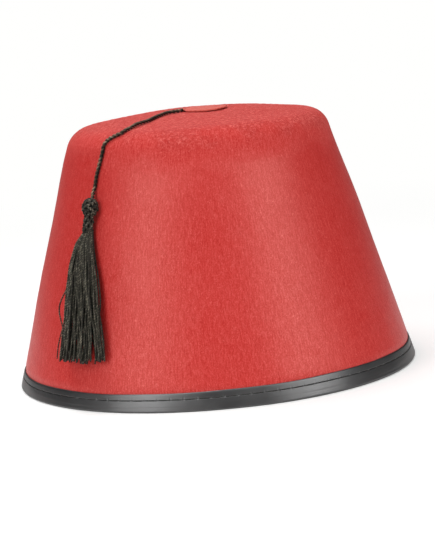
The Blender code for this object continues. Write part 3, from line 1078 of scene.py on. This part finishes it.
# Head: yarns of each hand, their radius, how far they weave over and under, their turns,
# twist and run into the skirt, and the core's sides
HEAD_BRAIDS = 5
HEAD_YARN = 0.00066
HEAD_WEAVE = 0.00030
HEAD_TURNS = 1.25
HEAD_LAY = 0.0022
HEAD_TAIL = 0.0022
HEAD_FOOT = -KNOT_HEIGHT / 2 - NECK_HEIGHT - HEAD_TAIL
HEAD_SIDES = 28


def head_frame():
    """Middle of the knot and the head's axis, side and outward directions."""
    lift = KNOT_WIDTH / 2 + 0.0001
    centre = on_tassel(KNOT_HEIGHT / 2, lift)
    up = unit(centre - on_tassel(SKIRT_TOP, lift - 0.0010))
    off = off_crown(TASSEL_LINE[0]["bearing"], TASSEL_TOP * WHOLE_RUN)
    out = unit(off - up * (off @ up))
    return centre, up, np.cross(up, out), out


def head_radius(level):
    """Radius of the knot and neck at heights along their axis, 0 at the knot's middle."""
    half = KNOT_HEIGHT / 2
    ball = KNOT_WIDTH / 2 * np.sqrt(np.maximum(0.0, 1 - (level / half) ** 2))
    waist = NECK_WIDTH / 2 * (0.94 - 0.10 * bump(level, -half - 0.0004, 0.0010))
    end = np.clip((level + half + NECK_HEIGHT + HEAD_TAIL) / HEAD_TAIL, 0.45, 1.0)
    return np.where(level < -half * 0.5, np.maximum(ball, waist * end), ball)


def add_head_core(shape, centre, up, side, out):
    """Dull core behind the head's yarns."""
    top = KNOT_HEIGHT / 2
    knot = np.linspace(top * 0.96, -top, 24)
    level = np.concatenate((knot, np.linspace(-top, HEAD_FOOT, 12)[1:]))
    turn = np.linspace(0, math.tau, HEAD_SIDES, endpoint=False)
    ring = around(turn, side, out)
    radius = np.maximum(head_radius(level) - HEAD_YARN * 1.8, 0.0003)
    points = centre + level[:, None, None] * up + radius[:, None, None] * ring[None]
    shape.grid(points, cap=True, painted_light=np.zeros(points.shape[:2]))


def make_head(finish):
    """Knot and neck covered by two sets of yarns that cross over and under."""
    centre, up, side, out = head_frame()
    shape = Shape()
    add_head_core(shape, centre, up, side, out)
    rng = np.random.default_rng(5)
    top = KNOT_HEIGHT / 2
    polar = np.linspace(0.20, math.pi * 0.78, 90)
    below = np.linspace(top * math.cos(polar[-1]), HEAD_FOOT, 61)[1:]
    level = np.concatenate((top * np.cos(polar), below))
    sweep = math.tau * HEAD_TURNS * np.linspace(0, 1, len(level))
    crossing = HEAD_BRAIDS * 2 * sweep / math.tau
    width = HEAD_YARN * np.clip(head_radius(level) / (KNOT_WIDTH / 2) + 0.30, 0.55, 1.0)
    for hand in (1, -1):
        over = hand * HEAD_WEAVE * np.cos(math.pi * crossing)
        radius = np.maximum(head_radius(level) - HEAD_YARN * 1.05, 0.0002) + over
        for braid in range(HEAD_BRAIDS):
            away = around(hand * sweep + math.tau * braid / HEAD_BRAIDS, side, out)
            path = centre + level[:, None] * up + radius[:, None] * away
            # Painted glints of the head, dimmer than the skirt's, face away from its axis
            plied(shape, path, away, width, HEAD_LAY, painted_glint_row(rng) * 0.6, sides=6, phase=braid)
    head = shape.make("tassel_head", finish, "tassel_yarn")
    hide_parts("tassel")
    return head


def skirt_size(share):
    """Half width, half depth and offset to the left of the skirt."""
    row = smooth_rows(SKIRT_FORM, "share", np.clip(share, 0, 1))
    return SKIRT_WIDTH * row["width"] / 2, SKIRT_DEPTH * row["depth"] / 2, row["left"]


def wander(rng, share, size):
    """Slow sideways drift along a yarn, none at its top."""
    waves = np.zeros(share.shape)
    for k in (1, 2, 3, 5, 8):
        height = rng.normal(0, 1) / k**0.9
        waves = waves + height * np.sin(math.pi * k * share * 1.3 + rng.uniform(0, 6.3))
    return size * waves * np.clip(share * 2.2, 0, 1)


# Partings between the yarns: place across the skirt as it is seen from the front, half
# width, and the stretch of the skirt's length that they reach over
PARTINGS = table(
    "place half start end",
    (0.20, 0.34, 0.64, 1.40),
    (0.52, 0.05, 0.30, 0.80),
    (-0.90, 0.07, 0.36, 0.60),
    (-0.62, 0.06, 0.72, 1.30),
)
PARTING_SKEW = 0.29


def part_yarns(u, v, share):
    """Place across the skirt of a yarn that the partings push aside."""
    skew = PARTING_SKEW * (1 + v)
    seen = np.full(share.shape, u - skew)
    for row in PARTINGS:
        along = np.clip((share - row["start"]) / (row["end"] - row["start"]), 0, 1)
        width = row["half"] * np.sin(math.pi * along)
        offset = seen - row["place"]
        side = 1.0 if u - skew > row["place"] else -1.0
        pushed = side * np.maximum(np.abs(offset), width + (np.abs(offset) - width) * 0.5)
        seen = row["place"] + np.where(width > 0, pushed, offset)
    return seen + skew


# Direction that the tassel faces, which its yarns' painted glints face too
TASSEL_FRONT = off_crown(-132.0, 0.6 * WHOLE_RUN)

# How far the skirt starts inside the neck, and the spread of its yarns before they are
# held inside its outline
SKIRT_OVERLAP = 0.0016
SKIRT_SPREAD = 1.04


def make_skirt(finish):
    """Twisted yarns from the neck down, parted in places."""
    rng = np.random.default_rng(21)
    left, right, core = Shape(), Shape(), Shape()
    top = SKIRT_TOP - SKIRT_OVERLAP
    golden = math.pi * (3 - math.sqrt(5))
    for yarn in range(YARNS):
        ring = math.sqrt((yarn + 0.5) / YARNS)
        angle = yarn * golden
        u, v = ring * math.cos(angle), ring * math.sin(angle)
        hidden = ring < 0.66 or (v < -0.20 and abs(u) < 0.80)
        length = SKIRT_LENGTH * rng.uniform(0.955, 1.0) - (0.0014 if u > 0.45 else 0.0)
        down = np.linspace(0, length + SKIRT_OVERLAP, 90 if hidden else 280)
        share = down / (SKIRT_LENGTH + SKIRT_OVERLAP)
        half_width, half_depth, offset = skirt_size(share)
        half_width = half_width * SKIRT_SPREAD
        radius = YARN_RADIUS * rng.uniform(0.88, 1.12) * np.clip(0.62 + share * 2.6, 0, 1)
        limit = half_width - radius
        wish = (half_width * part_yarns(u, v, share) + wander(rng, share, 0.00085)) / limit
        held = limit * wish / (1 + np.abs(wish) ** 5) ** 0.2
        across = held - offset + wander(rng, share, 0.00025)
        deep = (half_depth - radius) * SKIRT_FLATTEN * (1 + v * 0.94)
        lift = np.maximum(deep + wander(rng, share, 0.0006), 0) + radius + 0.0001
        path = on_tassel(top + down, lift, across)
        lay = YARN_LAY * rng.uniform(0.9, 1.15)
        phase = rng.uniform(0, 6.3)
        painted_glints = painted_glint_row(rng)
        sides = 4 if hidden else 5
        shape = core if hidden else (left if u < 0 else right)
        plied(shape, path, TASSEL_FRONT, radius, lay, painted_glints, sides=sides, phase=phase, taper=0.25)
    pieces = []
    for shape, name in ((left, "left"), (right, "right"), (core, "core")):
        piece = shape.make("tassel_skirt_" + name, finish, "tassel_yarn")
        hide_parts("tassel")
        pieces.append(piece)
    return pieces


# Loose yarns: their radii and how far they stand out at the left
BOWED_YARN = 0.00042
BOWED_REACH = 0.0054
FINE_YARN = 0.00034
FINE_REACH = 0.0075


def make_loose_yarns(finish):
    """One yarn that bows out at the left and one fine end beside it."""
    shape = Shape()
    rng = np.random.default_rng(9)
    share = np.linspace(0.28, 0.86, 150)
    half_width, half_depth, offset = skirt_size(share)
    bow = np.sin(math.pi * np.clip((share - 0.38) / 0.42, 0, 1)) ** 2
    across = -half_width * 0.90 - offset - bow * BOWED_REACH
    path = on_tassel(SKIRT_TOP + share * SKIRT_LENGTH, half_depth * 0.8, across)
    plied(shape, path, TASSEL_FRONT, BOWED_YARN, YARN_LAY, painted_glint_row(rng), sides=5)
    share = np.linspace(0.50, 0.985, 120)
    half_width, _, offset = skirt_size(share)
    lean = FINE_REACH * np.clip((share - 0.54) / 0.34, 0, 1) ** 0.8
    across = -half_width * 0.86 - offset - lean
    path = on_tassel(SKIRT_TOP + share * SKIRT_LENGTH, 0.0012 + 0.003 * (1 - share), across)
    plied(shape, path, TASSEL_FRONT, FINE_YARN, YARN_LAY * 0.9, painted_glint_row(rng), sides=5)
    loose = shape.make("tassel_loose_yarns", finish, "tassel_yarn")
    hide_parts("tassel")
    return loose


def build():
    make_camera()
    cord_finish, tassel_finish, thread_finish = (yarn_material(**row) for row in YARN_LOOKS)
    felt, button_felt = (felt_material(**row) for row in FELT_LOOKS)
    cord, path, start = make_cord(cord_finish)
    make_floor()
    make_lights()
    make_crown(felt)
    make_band(band_material())
    make_stitches(thread_finish)
    make_button(button_felt)
    head = make_head(tassel_finish)
    skirt = make_skirt(tassel_finish)
    loose = make_loose_yarns(tassel_finish)


build()
